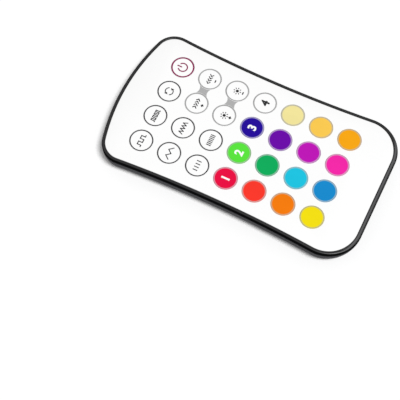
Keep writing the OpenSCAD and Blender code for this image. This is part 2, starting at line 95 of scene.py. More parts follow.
class Channel:
    # One socket of a material; arithmetic on it adds Math nodes
    def __init__(self, tree, socket=None):
        self.tree = tree
        self.socket = socket

    def node(self, kind, settings=None, inputs=None, output=0):
        made = self.tree.nodes.new("ShaderNode" + kind)
        for key, setting in (settings or {}).items():
            setattr(made, key, setting)
        for key, entry in (inputs or {}).items():
            if isinstance(entry, Channel):
                self.tree.links.new(entry.socket, made.inputs[key])
            else:
                made.inputs[key].default_value = entry
        return Channel(self.tree, made.outputs[output])

    def maths(self, operation, first, second=0.0):
        return self.node("Math", {"operation": operation}, {0: first, 1: second})

    def __add__(self, other):
        return self.maths("ADD", self, other)

    def __radd__(self, other):
        return self.maths("ADD", other, self)

    def __sub__(self, other):
        return self.maths("SUBTRACT", self, other)

    def __rsub__(self, other):
        return self.maths("SUBTRACT", other, self)

    def __mul__(self, other):
        return self.maths("MULTIPLY", self, other)

    def __rmul__(self, other):
        return self.maths("MULTIPLY", other, self)

    def absolute(self):
        return self.maths("ABSOLUTE", self)

    def atLeast(self, lowest):
        return self.maths("MAXIMUM", self, lowest)


def stretched(where, scale, turn=0.0, place=(0, 0, 0)):
    return where.node("Mapping", inputs={
        "Vector": where, "Location": place, "Rotation": (0, 0, math.radians(turn)), "Scale": scale,
    })


def noise(where, size, detail=3.0, roughness=0.5):
    # Size is about the width of one blotch, in mm
    return where.node("TexNoise", inputs={
        "Vector": where, "Scale": 1 / (size * mm), "Detail": detail, "Roughness": roughness,
    })


def between(value, start, end, low=0.0, high=1.0):
    return value.node("MapRange", {"interpolation_type": "SMOOTHSTEP"}, {
        "Value": value, "From Min": start, "From Max": end, "To Min": low, "To Max": high,
    })


def blend(share, first, second):
    return share.node("Mix", {"data_type": "RGBA"}, {0: share, 6: first, 7: second}, 2)


def bump(height, depth, strength=1.0):
    # Depth is the height of a full step, in mm
    return height.node("Bump", inputs={
        "Height": height, "Distance": depth * mm, "Strength": strength,
    })


def linear(red, green, blue):
    # A colour as it is read off a screen, from 0 to 255
    def straight(level):
        level /= 255
        return level / 12.92 if level <= 0.04045 else ((level + 0.055) / 1.055) ** 2.4
    return (straight(red), straight(green), straight(blue), 1.0)


def shaded(colour, factor):
    return tuple(level * factor for level in colour[:3]) + (1.0,)


def material(name, paint, **fixed):
    made = bpy.data.materials.new(name)
    made.use_nodes = True
    tree = made.node_tree
    shader = tree.nodes["Principled BSDF"]
    for key, entry in fixed.items():
        shader.inputs[key.replace("_", " ")].default_value = entry
    where = Channel(tree).node("TexCoord", output="Object")
    for key, channel in paint(where).items():
        tree.links.new(channel.socket, shader.inputs[key])
    return made


def scuffs(where, width, length, turn):
    # Thin straight rubbing marks along one direction
    along = stretched(where, (1 / length, 1 / width, 1 / width), turn)
    return between(along.node("TexNoise", inputs={
        "Vector": along, "Scale": 1 / mm, "Detail": 2.0, "Roughness": 0.6,
    }), 0.62, 0.74)


def part(where, axis):
    return where.node("SeparateXYZ", inputs={"Vector": where}, output=axis)


# Painted highlight: a paler band of base colour on the rim's top at the straight end, standing in
# for a reflection. The corner is the outline's own at the straight end; a turn of 1 faces that
# end, 0 the side
paintedHighlightBand = {
    "corner": (15.87, -39.1),
    "radius": 13.1,
    "inset": (0.55, 0.95),
    "insetTurns": (0.8, 1.0),
    "width": 0.6,
    "fadeTurns": (0.66, 0.92),
}


def paintedHighlight(where):
    # Mask of the painted highlight: 1 along the middle of the rim's top at the straight end,
    # fading out round its corners
    cornerX, cornerY = paintedHighlightBand["corner"]
    across = (part(where, "X").absolute() - cornerX * mm).atLeast(0.0)
    down = (cornerY * mm - part(where, "Y")).atLeast(0.0)
    reach = down.maths("SQRT", across * across + down * down)
    turned = down.maths("DIVIDE", down, reach + hair * mm)
    middle = between(turned, *paintedHighlightBand["insetTurns"],
                     *(inset * mm for inset in paintedHighlightBand["inset"]))
    off = (paintedHighlightBand["radius"] * mm - reach - middle).absolute()
    fade = between(turned, *paintedHighlightBand["fadeTurns"])
    return between(off, 0.0, paintedHighlightBand["width"] * mm, 1.0, 0.0) * fade


def polishedBlack(where):
    # The flat top of the rim is polished; its edges and the wall have a fine matt grain. The base
    # colour also holds a painted highlight, a paler band along the rim's top at the straight end
    clouds = noise(where, 9, 4)
    grain = noise(where, 0.2, 3, 0.7)
    rubbed = scuffs(where, 0.25, 9, 24) + scuffs(where, 0.2, 7, -52)
    polished = between(part(where, "Z"), 8.8 * mm, 8.98 * mm)
    return {
        # Near-black base, mixed towards pale grey along the painted highlight band at the straight
        # end
        "Base Color": blend(paintedHighlight(where) * (clouds * 0.3 + 0.7), blend(
            clouds, (0.001, 0.00105, 0.0012, 1), (0.0026, 0.0027, 0.0031, 1)),
            (0.1, 0.1, 0.103, 1)),
        "Roughness": clouds * 0.08 + grain * 0.12 + 0.4 - rubbed * 0.12,
        "Coat Weight": polished * (0.64 + clouds * 0.12 - rubbed * 0.1) + 0.02,
        "Normal": bump(grain * (1 - polished * 0.9), 0.03, 0.4),
    }


def satinBlack(where):
    clouds = noise(where, 6, 4)
    grain = noise(where, 0.22, 3, 0.7)
    rubbed = scuffs(where, 0.3, 11, 80)
    return {
        "Base Color": blend(clouds, (0.042, 0.0418, 0.0475, 1), (0.06, 0.0597, 0.067, 1)),
        "Roughness": grain * 0.16 + clouds * 0.06 + 0.42 - rubbed * 0.12,
        "Coat Weight": between(part(where, "Z"), 3 * mm, 0.5 * mm) * (clouds * 0.15 + 0.12)
        + rubbed * 0.05 + 0.05,
        "Normal": bump(grain, 0.035, 0.5),
    }


def glossyWhite(where):
    clouds = noise(where, 14, 3)
    peel = noise(where, 1.6, 2)
    specks = between(noise(where, 0.12, 1), 0.74, 0.8)
    tint = blend(clouds, (0.945, 0.945, 0.942, 1), (0.965, 0.965, 0.964, 1))
    return {
        "Base Color": blend(specks * 0.25, tint, (0.72, 0.715, 0.7, 1)),
        "Roughness": clouds * 0.08 + peel * 0.06 + 0.2,
        "Normal": bump(peel, 0.012, 0.3),
    }


def capPlastic(colour):
    # Moulded key cap: the colour itself, faint flow marks and a fine matt grain
    def paint(where):
        flow = noise(stretched(where, (1, 0.35, 1), 35), 3.2, 3)
        grain = noise(where, 0.14, 2, 0.6)
        return {
            "Base Color": blend(flow, shaded(colour, 0.93), shaded(colour, 1.02)),
            "Roughness": grain * 0.16 + flow * 0.06 + 0.3,
            "Normal": bump(grain, 0.008, 0.4),
        }
    return paint


def printedInk(colour):
    # Screen print: slightly uneven cover with a dry surface
    def paint(where):
        cover = noise(where, 0.3, 3, 0.7)
        return {
            "Base Color": blend(cover, shaded(colour, 0.86), shaded(colour, 1.12)),
            "Roughness": cover * 0.2 + 0.42,
            "Normal": bump(cover, 0.004, 0.5),
        }
    return paint


def brushedMetal(bright, dark, stroke=(0.05, 6), turn=0.0):
    width, length = stroke

    def paint(where):
        lines = noise(stretched(where, (width / length, 1, 1), turn), width * 1000 * mm, 3)
        clouds = noise(where, 4, 3)
        return {
            "Base Color": blend(lines * 0.7 + clouds * 0.3, dark, bright),
            "Roughness": lines * 0.22 + clouds * 0.08 + 0.16,
            "Normal": bump(lines, 0.006, 0.5),
        }
    return paint


def solderMask(where):
    # Green lacquer over copper tracks, with tinned pads here and there
    grid = where.node("TexBrick", {"offset": 0.5, "squash": 1.0}, {
        "Vector": where, "Scale": 120.0, "Mortar Size": 0.06, "Mortar Smooth": 0.1,
        "Brick Width": 0.9, "Row Height": 0.22,
    }, "Fac")
    clouds = noise(where, 5, 3)
    pads = between(where.node("TexVoronoi", inputs={"Vector": where, "Scale": 240.0}), 0.12, 0.16,
                   1.0, 0.0)
    lacquer = blend(clouds, (0.012, 0.085, 0.03, 1), (0.02, 0.12, 0.045, 1))
    tracks = blend(grid, lacquer, (0.03, 0.19, 0.07, 1))
    return {
        "Base Color": blend(pads, tracks, (0.62, 0.6, 0.55, 1)),
        "Roughness": clouds * 0.12 + 0.3 - pads * 0.1,
        "Metallic": pads * 0.8,
        "Normal": bump(grid + pads, 0.02, 0.6),
    }


def sheetPlastic(colour, grain, rough):
    def paint(where):
        clouds = noise(where, 7, 3)
        fine = noise(where, grain, 3, 0.6)
        return {
            "Base Color": blend(clouds, shaded(colour, 0.9), shaded(colour, 1.08)),
            "Roughness": fine * 0.2 + rough,
            "Normal": bump(fine, 0.02, 0.6),
        }
    return paint


def mouldedResin(where):
    grain = noise(where, 0.12, 3, 0.7)
    clouds = noise(where, 1.5, 2)
    return {
        "Base Color": blend(clouds, (0.012, 0.012, 0.013, 1), (0.024, 0.024, 0.026, 1)),
        "Roughness": grain * 0.25 + 0.45,
        "Normal": bump(grain, 0.02, 0.7),
    }


def firedCeramic(where):
    # Pale body with a fine grain
    grain = noise(where, 0.1, 3)
    return {
        "Base Color": blend(grain, (0.36, 0.24, 0.13, 1), (0.46, 0.33, 0.2, 1)),
        "Roughness": grain * 0.2 + 0.4,
        "Normal": bump(grain, 0.01, 0.5),
    }


capColours = {
    "key_red": (232, 5, 65),
    "key_green": (88, 226, 60),
    "key_blue": (32, 0, 150),
    "key_scarlet": (248, 54, 40),
    "key_emerald": (6, 170, 90),
    "key_purple": (104, 0, 165),
    "key_cream": (241, 228, 155),
    "key_orange": (243, 122, 1),
    "key_cyan": (25, 194, 223),
    "key_magenta": (188, 16, 181),
    "key_amber": (249, 201, 80),
    "key_yellow": (243, 223, 9),
    "key_azure": (18, 137, 204),
    "key_pink": (242, 37, 167),
    "key_gold": (246, 166, 13),
}
inkColours = {
    "dark": (40, 40, 42),
    "grey": (160, 160, 160),
    "link": (172, 172, 172),
    "magenta": (132, 6, 76),
    "white": (252, 252, 252),
    "black": (14, 14, 16),
}
ringShade = {
    "tint": 0.3,
    "lift": 38,
}
finishes = {
    "case": material("polishedBlack", polishedBlack, Specular_IOR_Level=0.0,
                     Coat_Roughness=0.32),
    "back": material("satinBlack", satinBlack, Specular_IOR_Level=0.02, Coat_Roughness=0.3),
    "face": material("glossyWhite", glossyWhite, Specular_IOR_Level=0.35),
    "whiteCap": material("whiteCap", glossyWhite, Specular_IOR_Level=0.35),
    "board": material("solderMask", solderMask),
    "resin": material("mouldedResin", mouldedResin),
    "ceramic": material("firedCeramic", firedCeramic),
    "resistor": material("glazedBlack", mouldedResin, Coat_Weight=0.3),
    "tape": material("tape", sheetPlastic((0.66, 0.62, 0.5, 1), 0.3, 0.5)),
    "foam": material("foamSheet", sheetPlastic((0.32, 0.35, 0.37, 1), 0.25, 0.75)),
    "film": material("polyesterFilm", sheetPlastic((0.75, 0.58, 0.28, 1), 0.8, 0.2)),
    "locator": material("locatorSheet", sheetPlastic((0.58, 0.47, 0.23, 1), 0.8, 0.3)),
    "steel": material("brushedSteel", brushedMetal(
        (0.62, 0.63, 0.65, 1), (0.42, 0.43, 0.45, 1)), Metallic=1.0),
    "cell": material("cellSteel", brushedMetal(
        (0.7, 0.7, 0.71, 1), (0.5, 0.5, 0.52, 1), (0.04, 12), 15), Metallic=1.0),
    "zinc": material("zincPlate", brushedMetal(
        (0.36, 0.37, 0.39, 1), (0.22, 0.23, 0.25, 1), (0.08, 1)), Metallic=1.0),
    "nickel": material("nickelPlate", brushedMetal(
        (0.66, 0.62, 0.5, 1), (0.5, 0.46, 0.36, 1), (0.1, 3), 90), Metallic=1.0),
    "magnet": material("magnetPlate", brushedMetal(
        (0.5, 0.51, 0.52, 1), (0.38, 0.39, 0.4, 1), (0.2, 0.5)), Metallic=1.0),
}
for keyName, colour in capColours.items():
    finishes[keyName] = material(keyName + "_cap", capPlastic(linear(*colour)),
                                 Specular_IOR_Level=0.1)
for inkName, colour in inkColours.items():
    finishes[inkName + "Ink"] = material(inkName + "Ink", printedInk(linear(*colour)),
                                         Specular_IOR_Level=0.25)
for keyName, colour in capColours.items():
    # The grey ring takes on a little of its cap's colour, and is paler round a dark cap
    light = (0.21 * colour[0] + 0.72 * colour[1] + 0.07 * colour[2]) / 255
    mixed = [grey + (1 - light) * ringShade["lift"] + (own - grey) * ringShade["tint"]
             for grey, own in zip(inkColours["grey"], colour)]
    finishes[keyName + "Ring"] = material(keyName + "_ring", printedInk(linear(*mixed)),
                                          Specular_IOR_Level=0.25)
print("finishes made:", len(finishes))


# Mesh helpers

def newPiece(name, bm):
    mesh = bpy.data.meshes.new(name)
    bm.to_mesh(mesh)
    bm.free()
    piece = bpy.data.objects.new(name, mesh)
    show(piece)
    return piece


def finalMesh(thing):
    return bpy.data.meshes.new_from_object(
        thing.evaluated_get(bpy.context.evaluated_depsgraph_get()))


def applyModifiers(piece):
    mesh = finalMesh(piece)
    piece.modifiers.clear()
    old, piece.data = piece.data, mesh
    bpy.data.meshes.remove(old)


def combine(base, tool, operation):
    # UNION, DIFFERENCE or INTERSECT; the tool is used up
    modifier = base.modifiers.new("shape", "BOOLEAN")
    modifier.operation = operation
    modifier.object = tool
    modifier.solver = "EXACT"
    applyModifiers(base)
    bpy.data.objects.remove(tool)


def join(base, tool):
    combine(base, tool, "UNION")


def cut(base, tool):
    combine(base, tool, "DIFFERENCE")


def soften(piece, width, steps=2, sharpest=38.0, smoothing=35.0):
    # Rounds the sharp edges a little, then smooths the shading except at what is still sharp
    if width:
        modifier = piece.modifiers.new("edges", "BEVEL")
        modifier.width = width * mm
        modifier.segments = steps
        modifier.limit_method = "ANGLE"
        modifier.angle_limit = math.radians(sharpest)
        modifier.use_clamp_overlap = True
        applyModifiers(piece)
    piece.data.shade_smooth()
    piece.data.set_sharp_from_angle(angle=math.radians(smoothing))


def dress(piece, finish, body, node=None, slot=None):
    piece.data.materials.clear()
    for name in finish if isinstance(finish, (list, tuple)) else [finish]:
        piece.data.materials.append(finishes[name])
    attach(piece, body)
    if node:
        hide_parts(node)
    return piece


def addCylinder(bm, place, radius, bottom, top, segments=usualSteps):
    made = bmesh.ops.create_circle(bm, cap_ends=True, segments=segments, radius=radius * mm)
    bmesh.ops.translate(bm, verts=made["verts"], vec=(place[0] * mm, place[1] * mm, bottom * mm))
    disc = [face for face in bm.faces if set(face.verts) == set(made["verts"])]
    raised = bmesh.ops.extrude_face_region(bm, geom=disc, use_keep_orig=True)
    tops = [item for item in raised["geom"] if isinstance(item, bmesh.types.BMVert)]
    bmesh.ops.translate(bm, verts=tops, vec=(0, 0, (top - bottom) * mm))
    return made["verts"] + tops


def addBox(bm, lowCorner, highCorner):
    verts = bmesh.ops.create_cube(bm, size=1)["verts"]
    size = Vector(highCorner) - Vector(lowCorner)
    middle = (Vector(highCorner) + Vector(lowCorner)) / 2
    bmesh.ops.scale(bm, vec=size * mm, verts=verts)
    bmesh.ops.translate(bm, vec=middle * mm, verts=verts)
    return verts


def copyTo(shape, name, x, y):
    piece = shape.copy()
    piece.data = shape.data.copy()
    piece.name = name
    piece.data.name = name
    show(piece)
    piece.data.transform(Matrix.Translation((x * mm, y * mm, 0)))
    return piece


def cylinders(name, places, radius, bottom, top, segments=usualSteps):
    bm = bmesh.new()
    for place in places:
        addCylinder(bm, place, radius, bottom, top, segments)
    bmesh.ops.recalc_face_normals(bm, faces=bm.faces)
    return newPiece(name, bm)


def lathe(name, profile, steps):
    # Points of (radius, height), turned once round Z
    bm = bmesh.new()
    verts = [bm.verts.new((x * mm, 0, z * mm)) for x, z in profile]
    edges = [bm.edges.new(pair) for pair in zip(verts, verts[1:])]
    bmesh.ops.spin(bm, geom=verts + edges, cent=(0, 0, 0), axis=(0, 0, 1), dvec=(0, 0, 0),
                   angle=math.tau, steps=steps, use_merge=True, use_duplicate=False)
    bmesh.ops.remove_doubles(bm, verts=bm.verts, dist=hair * mm)
    bmesh.ops.recalc_face_normals(bm, faces=bm.faces)
    return newPiece(name, bm)


def box(name, lowCorner, highCorner):
    bm = bmesh.new()
    addBox(bm, lowCorner, highCorner)
    bmesh.ops.recalc_face_normals(bm, faces=bm.faces)
    return newPiece(name, bm)


# Case outline: arcs that touch, from the middle of the bowed end round to the straight end

outlineSizes = {
    "endRadius": 85.6,
    "topCornerRadius": 8.3,
    "bottomCornerRadius": 13.1,
    "waist": 54.8,
    "waistPlace": 0.9,
    "rimWidth": 1.2,
    "endRimWidth": 1.6,
    "endSteps": 16,
    "cornerSteps": 26,
    "sideSteps": 30,
}


def arcChain(sizes):
    # Centres and angles of the arcs, as (centre, turn in degrees, steps) in the order of the sweep
    endMiddle = Vector((0, high.y - sizes["endRadius"]))
    cornerX = high.x - sizes["topCornerRadius"]
    reach = sizes["endRadius"] - sizes["topCornerRadius"]
    topCorner = Vector((cornerX, endMiddle.y + math.sqrt(reach ** 2 - cornerX ** 2)))
    sag = high.x - sizes["waist"] / 2
    rise = topCorner.y - sizes["waistPlace"]
    sideRadius = (rise ** 2 - sag * (2 * sizes["topCornerRadius"] - sag)) / (2 * sag)
    sideMiddle = Vector((sizes["waist"] / 2 + sideRadius, sizes["waistPlace"]))
    bottomY = low.y + sizes["bottomCornerRadius"]
    reach = sideRadius + sizes["bottomCornerRadius"]
    bottomCorner = Vector((
        sideMiddle.x - math.sqrt(reach ** 2 - (bottomY - sizes["waistPlace"]) ** 2), bottomY))

    def heading(way):
        return math.degrees(math.atan2(way.y, way.x)) % 360

    endAngle = heading(topCorner - endMiddle)
    topAngle = heading(topCorner - sideMiddle)
    bottomAngle = heading(bottomCorner - sideMiddle)
    return [
        (endMiddle, endAngle - 90, sizes["endSteps"]),
        (topCorner, topAngle - 180 - endAngle, sizes["cornerSteps"]),
        (sideMiddle, bottomAngle - topAngle, sizes["sideSteps"]),
        (bottomCorner, -90 - (bottomAngle - 180), sizes["cornerSteps"]),
    ]


def raiseEnd(bm):
    # The rim widens towards the straight end, so what lies inside it moves up there
    corner, _, _ = chain[-1]
    extra = outlineSizes["endRimWidth"] - outlineSizes["rimWidth"]
    for vert in bm.verts:
        reach = vert.co.xy / mm - corner
        if reach.y < 0:
            inset = outlineSizes["bottomCornerRadius"] - reach.length
            share = min(inset / outlineSizes["rimWidth"], 1)
            vert.co.y -= extra * share * reach.y / reach.length * mm


def sweepHalf(section, closed):
    # Section: points of (inset from the outline, height); swept round one half and mirrored
    bm = bmesh.new()
    verts = [bm.verts.new((0, (high.y - inset) * mm, height * mm)) for inset, height in section]
    front = verts + [bm.edges.new(pair) for pair in zip(verts, verts[1:])]
    if closed:
        front.append(bm.edges.new((verts[-1], verts[0])))
    for middle, turn, steps in chain:
        spun = bmesh.ops.spin(
            bm, geom=front, cent=(middle.x * mm, middle.y * mm, 0), axis=(0, 0, 1),
            dvec=(0, 0, 0), angle=math.radians(turn), steps=steps, use_merge=False,
            use_duplicate=False)
        front = spun["geom_last"]
    raiseEnd(bm)
    frontEdges = [item for item in front if isinstance(item, bmesh.types.BMEdge)]
    for vert in {vert for edge in frontEdges for vert in edge.verts}:
        vert.co.y = max(round(vert.co.y / mm, 3), low.y) * mm
    across = bmesh.ops.extrude_edge_only(bm, edges=frontEdges)
    for item in across["geom"]:
        if isinstance(item, bmesh.types.BMVert):
            item.co.x = 0
    bmesh.ops.mirror(bm, geom=bm.verts[:] + bm.edges[:] + bm.faces[:], axis="X",
                     merge_dist=hair * mm)
    bmesh.ops.remove_doubles(bm, verts=bm.verts, dist=hair * mm)
    return bm


def sweepRound(name, section):
    # A ring round the case whose section is a closed loop
    bm = sweepHalf(section, True)
    bmesh.ops.recalc_face_normals(bm, faces=bm.faces)
    return newPiece(name, bm)


def sweepSolid(name, section):
    # A plate as wide as the case whose edge follows the section, closed across at both ends
    bm = sweepHalf(section, False)
    openEdges = [edge for edge in bm.edges if len(edge.link_faces) == 1]
    for height in (section[0][1], section[-1][1]):
        loop = [edge for edge in openEdges if abs(edge.verts[0].co.z / mm - height) < hair]
        bmesh.ops.edgeloop_fill(bm, edges=loop)
    bmesh.ops.recalc_face_normals(bm, faces=bm.faces)
    return newPiece(name, bm)


def quarter(inset, height, radius, start, stop, steps=5):
    # Points on a rounding with its middle at (inset, height)
    angles = [math.radians(start + (stop - start) * i / steps) for i in range(steps + 1)]
    return [(inset - radius * math.cos(a), height + radius * math.sin(a)) for a in angles]


def underCurve(depth, bottom, top, steps=12):
    # The wall as it curves in under the case, or its inside at a depth, between two heights
    width = wall["curveWidth"] - depth
    reach = wall["curveReach"] - depth
    start = math.asin((wall["curveHeight"] - bottom) / reach)
    stop = math.asin((wall["curveHeight"] - top) / reach)
    angles = [start + (stop - start) * i / steps for i in range(steps + 1)]
    return [(wall["curveWidth"] - width * math.cos(a),
             wall["curveHeight"] - reach * math.sin(a)) for a in angles]


wall = {
    "curveHeight": 7.55,
    "curveWidth": 3.6,
    "curveReach": 8.5,
    "thickness": 1.2,
    "floor": 1.4,
    "seamHeight": 6.9,
    "seamGap": 0.1,
    "seamEdge": 0.06,
}
chain = arcChain(outlineSizes)


# Fastening places that several pieces share

fastening = {
    "screws": [(17, 43.7), (-17, 43.7), (17, -42.8), (-17, -42.8)],
    "shankRadius": 0.85,
    "headRadius": 1.6,
    "headHeight": 0.8,
    "headRecess": 0.4,
    "shankGap": 0.05,
    "clearance": 0.15,
    "frameBoss": 2.1,
    "shellBoss": 2.6,
    "bossHeight": 3.2,
    "pilotTop": 6.85,
}


# Front frame: the rim round the white face, its ledge, tongue and screw bosses

frontFrame = {
    "outerRounding": 0.5,
    "innerRounding": 0.25,
    "ledgeHeight": 7.65,
    "ledgeThickness": 0.75,
    "ledgeWidth": 4,
    "tongueInset": 1.4,
    "tongueThickness": 0.8,
    "tongueDepth": 0.9,
    "window": (-40.5, 41.4),
    "plateInset": 2.2,
}


def makeFrontFrame(sizes):
    top = high.z
    inner = sizes["innerRounding"]
    outer = sizes["outerRounding"]
    rim = outlineSizes["rimWidth"]
    ledgeTop = sizes["ledgeHeight"]
    ledgeLow = ledgeTop - sizes["ledgeThickness"]
    tongueIn = sizes["tongueInset"] + sizes["tongueThickness"]
    tongueLow = wall["seamHeight"] - sizes["tongueDepth"]
    edge = wall["seamEdge"]
    bend = underCurve(0, wall["seamHeight"] + edge, wall["curveHeight"], 6)
    section = [
        (sizes["ledgeWidth"], ledgeLow),
        (tongueIn, ledgeLow),
        (tongueIn, tongueLow + edge),
        (tongueIn - edge, tongueLow),
        (sizes["tongueInset"] + edge, tongueLow),
        (sizes["tongueInset"], tongueLow + edge),
        (sizes["tongueInset"], wall["seamHeight"]),
        (bend[0][0] + edge, wall["seamHeight"]),
    ] + bend + quarter(outer, top - outer, outer, 0, 90, 8)
    section += quarter(rim - inner, top - inner, inner, 90, 180, 6)
    section += [(rim, ledgeTop), (sizes["ledgeWidth"], ledgeTop)]
    piece = sweepRound("frontFrame", section)
    plateInset = sizes["plateInset"]
    plate = sweepSolid("ledgeEnds", [(plateInset, ledgeLow), (plateInset, ledgeTop)])
    windowLow, windowTop = sizes["window"]
    cut(plate, box("windowTool", (-high.x - overrun, windowLow, 0),
                   (high.x + overrun, windowTop, high.z + overrun)))
    join(piece, plate)
    bosses = cylinders("bosses", fastening["screws"], fastening["frameBoss"],
                       fastening["bossHeight"], ledgeTop - sizes["ledgeThickness"] / 2)
    join(piece, bosses)
    pilots = cylinders("pilots", fastening["screws"],
                       fastening["shankRadius"] + fastening["shankGap"],
                       fastening["bossHeight"] - overrun, fastening["pilotTop"], smallSteps)
    cut(piece, pilots)
    soften(piece, 0)
    return dress(piece, "case", "case", "front_frame", "case_black")


makeFrontFrame(frontFrame)
print("front frame made")


# Back shell: curved wall, flat back, cover slot and rails, cell well, posts, bosses and collars

backShell = {
    "edge": 0.08,
    "floorStrip": 3,
    "plateInset": 2.5,
    "undersideTop": 4,
    "railWidth": 27.04,
    "railHeight": 2.32,
    "slotWidth": 22.24,
    "runnerWidth": 24.24,
    "runnerLow": 0.63,
    "slotTop": 1.62,
    "slotEnd": -10.73,
    "coverEnd": -10.85,
    "railThickness": 1.4,
    "wellPlace": -23.8,
    "wellRadius": 10.15,
    "wellThickness": 0.8,
    "wellTop": 4.12,
    "contactSlot": 4.24,
    "postRadius": 1.5,
    "postTop": 5.4,
    "posts": [(side * 18.6875, y) for y in (29.95, 6.95, -16.05) for side in (-1, 1)],
    "magnets": [(0, 35.7), (0, 1.2)],
    "magnetRadius": 5,
    "magnetGap": 0.1,
    "magnetSkin": 0.8,
    "collarThickness": 0.8,
    "collarHeight": 0.6,
}


def makeBackShell(sizes):
    floor = wall["floor"]
    edge = sizes["edge"]
    shellTop = wall["seamHeight"] - wall["seamGap"]
    outer = underCurve(0, 0, shellTop - edge, 14)
    inner = underCurve(wall["thickness"], shellTop - edge, floor, 12)
    strip = outer[0][0] + sizes["floorStrip"]
    section = outer + [
        (outer[-1][0] + edge, shellTop),
        (inner[0][0] - edge, shellTop),
    ] + inner + [(strip, floor), (strip, 0)]
    piece = sweepRound("backShell", section)
    inset = outer[0][0] + sizes["plateInset"]
    join(piece, sweepSolid("flatBack", [(inset, 0), (inset, floor)]))
    half = sizes["railWidth"] / 2
    rails = box("rails", (-half, low.y, hair),
                (half, sizes["coverEnd"] + sizes["railThickness"], sizes["railHeight"]))
    underside = underCurve(0, 0, sizes["undersideTop"], 10)
    combine(rails, sweepSolid("underside", underside), "INTERSECT")
    join(piece, rails)
    wellPlace = [(0, sizes["wellPlace"])]
    wellOut = sizes["wellRadius"] + sizes["wellThickness"]
    parts = cylinders("shellParts", wellPlace, wellOut, sizes["slotTop"],
                      sizes["wellTop"], largeSteps)
    join(piece, parts)
    join(piece, cylinders("shellBosses", fastening["screws"], fastening["shellBoss"],
                          floor / 2, fastening["bossHeight"]))
    join(piece, cylinders("posts", sizes["posts"], sizes["postRadius"],
                          floor / 2, sizes["postTop"], smallSteps))
    reach = sizes["magnetRadius"] + sizes["magnetGap"]
    join(piece, cylinders("collars", sizes["magnets"],
                          reach + sizes["collarThickness"], floor / 2,
                          floor + sizes["collarHeight"]))
    end = sizes["slotEnd"]
    half = sizes["slotWidth"] / 2
    cut(piece, box("slot", (-half, low.y - overrun, -overrun), (half, end, sizes["slotTop"])))
    half = sizes["runnerWidth"] / 2
    cut(piece, box("grooves", (-half, low.y - overrun, sizes["runnerLow"]),
                   (half, end, sizes["slotTop"])))
    cut(piece, cylinders("well", wellPlace, sizes["wellRadius"],
                         sizes["runnerLow"], sizes["wellTop"] + overrun, largeSteps))
    half = sizes["contactSlot"] / 2
    cut(piece, box("contactSlot", (-half, sizes["wellPlace"], sizes["railHeight"]),
                   (half, sizes["wellPlace"] + wellOut + overrun, sizes["wellTop"] + overrun)))
    headSpace = fastening["headRadius"] + fastening["clearance"]
    cut(piece, cylinders("counterbores", fastening["screws"], headSpace, -overrun,
                         fastening["headRecess"] + fastening["headHeight"]))
    cut(piece, cylinders("screwHoles", fastening["screws"],
                         fastening["shankRadius"] + fastening["clearance"], -overrun,
                         fastening["bossHeight"] + overrun, smallSteps))
    cut(piece, cylinders("magnetPockets", sizes["magnets"], reach,
                         sizes["magnetSkin"], floor + sizes["collarHeight"] + overrun))
    soften(piece, 0)
    return dress(piece, "back", "case", "back_shell", "case_black")


makeBackShell(backShell)
print("back shell made")


# Battery cover: a thin lid with a runner along each side and grip grooves at its closed end

batteryCover = {
    "width": 22,
    "runner": 1,
    "skinHeight": 0.75,
    "top": 1.5,
    "recess": 0.1,
    "grooves": 5,
    "grooveLength": 10,
    "grooveWidth": 0.6,
    "grooveDepth": 0.3,
    "groovePitch": 1.5,
    "grooveCorner": 0.28,
    "edge": 0.07,
}


def makeBatteryCover(sizes):
    half = sizes["width"] / 2
    end = backShell["coverEnd"]
    piece = box("batteryCover", (-half, low.y, 0),
                (half, end, sizes["top"]))
    wide = half + sizes["runner"]
    join(piece, box("runners", (-wide, low.y, sizes["skinHeight"]),
                    (wide, end, sizes["top"])))
    curved = underCurve(0, sizes["recess"], sizes["top"], 8)
    combine(piece, sweepSolid("underside", curved), "INTERSECT")
    soften(piece, sizes["edge"], 2, 50)
    bm = bmesh.new()
    for i in range(sizes["grooves"]):
        start = end - (i + 2) * sizes["groovePitch"]
        verts = addBox(bm, (-sizes["grooveLength"] / 2, start, -overrun / 2),
                       (sizes["grooveLength"] / 2, start + sizes["grooveWidth"],
                        sizes["recess"] + sizes["grooveDepth"]))
        sides = [edge for edge in bm.edges if all(v in verts for v in edge.verts)
                 and (abs(edge.verts[0].co.z - edge.verts[1].co.z) > hair * mm)]
        bmesh.ops.bevel(bm, geom=sides, affect="EDGES", segments=4, profile=0.5,
                        offset=sizes["grooveCorner"] * mm, material=-1)
    cut(piece, newPiece("grooves", bm))
    soften(piece, 0)
    return dress(piece, "back", "battery_cover", "battery_cover", "case_black")


makeBatteryCover(batteryCover)
print("battery cover made")


# White face with its 28 round holes

keypad = {
    "pitch": 11.5,
    "firstRow": 35.7,
    "capRadius": 4.45,
    "capGap": 0.08,
    "faceHeight": 8.8,
    "capEdge": 0.1,
    "flangeRadius": 5,
    "flangeTop": 7.7,
    "flangeBottom": 7.1,
    "plungerRadius": 1.5,
    "plungerHeight": 6.6,
    "tabWidth": 1.2,
    "tabReach": 6.2,
    "tabStart": 2,
    "smallEdge": 0.06,
}
keyRows = [
    ["key_jump_3", "key_jump_7", "key_auto", "key_power"],
    ["key_fade_3", "key_fade_7", "key_speed_up", "key_speed_down"],
    ["key_flash_3", "key_flash_7", "key_bright_up", "key_bright_down"],
    ["key_red", "key_green", "key_blue", "key_white"],
    ["key_scarlet", "key_emerald", "key_purple", "key_cream"],
    ["key_orange", "key_cyan", "key_magenta", "key_amber"],
    ["key_yellow", "key_azure", "key_pink", "key_gold"],
]
keyPlaces = {}
for row, names in enumerate(keyRows):
    for column, name in enumerate(names):
        keyPlaces[name] = ((column - 1.5) * keypad["pitch"],
                           keypad["firstRow"] - row * keypad["pitch"])

facePanel = {
    "inset": 1.3,
    "bottom": 7.8,
    "edge": 0.09,
}


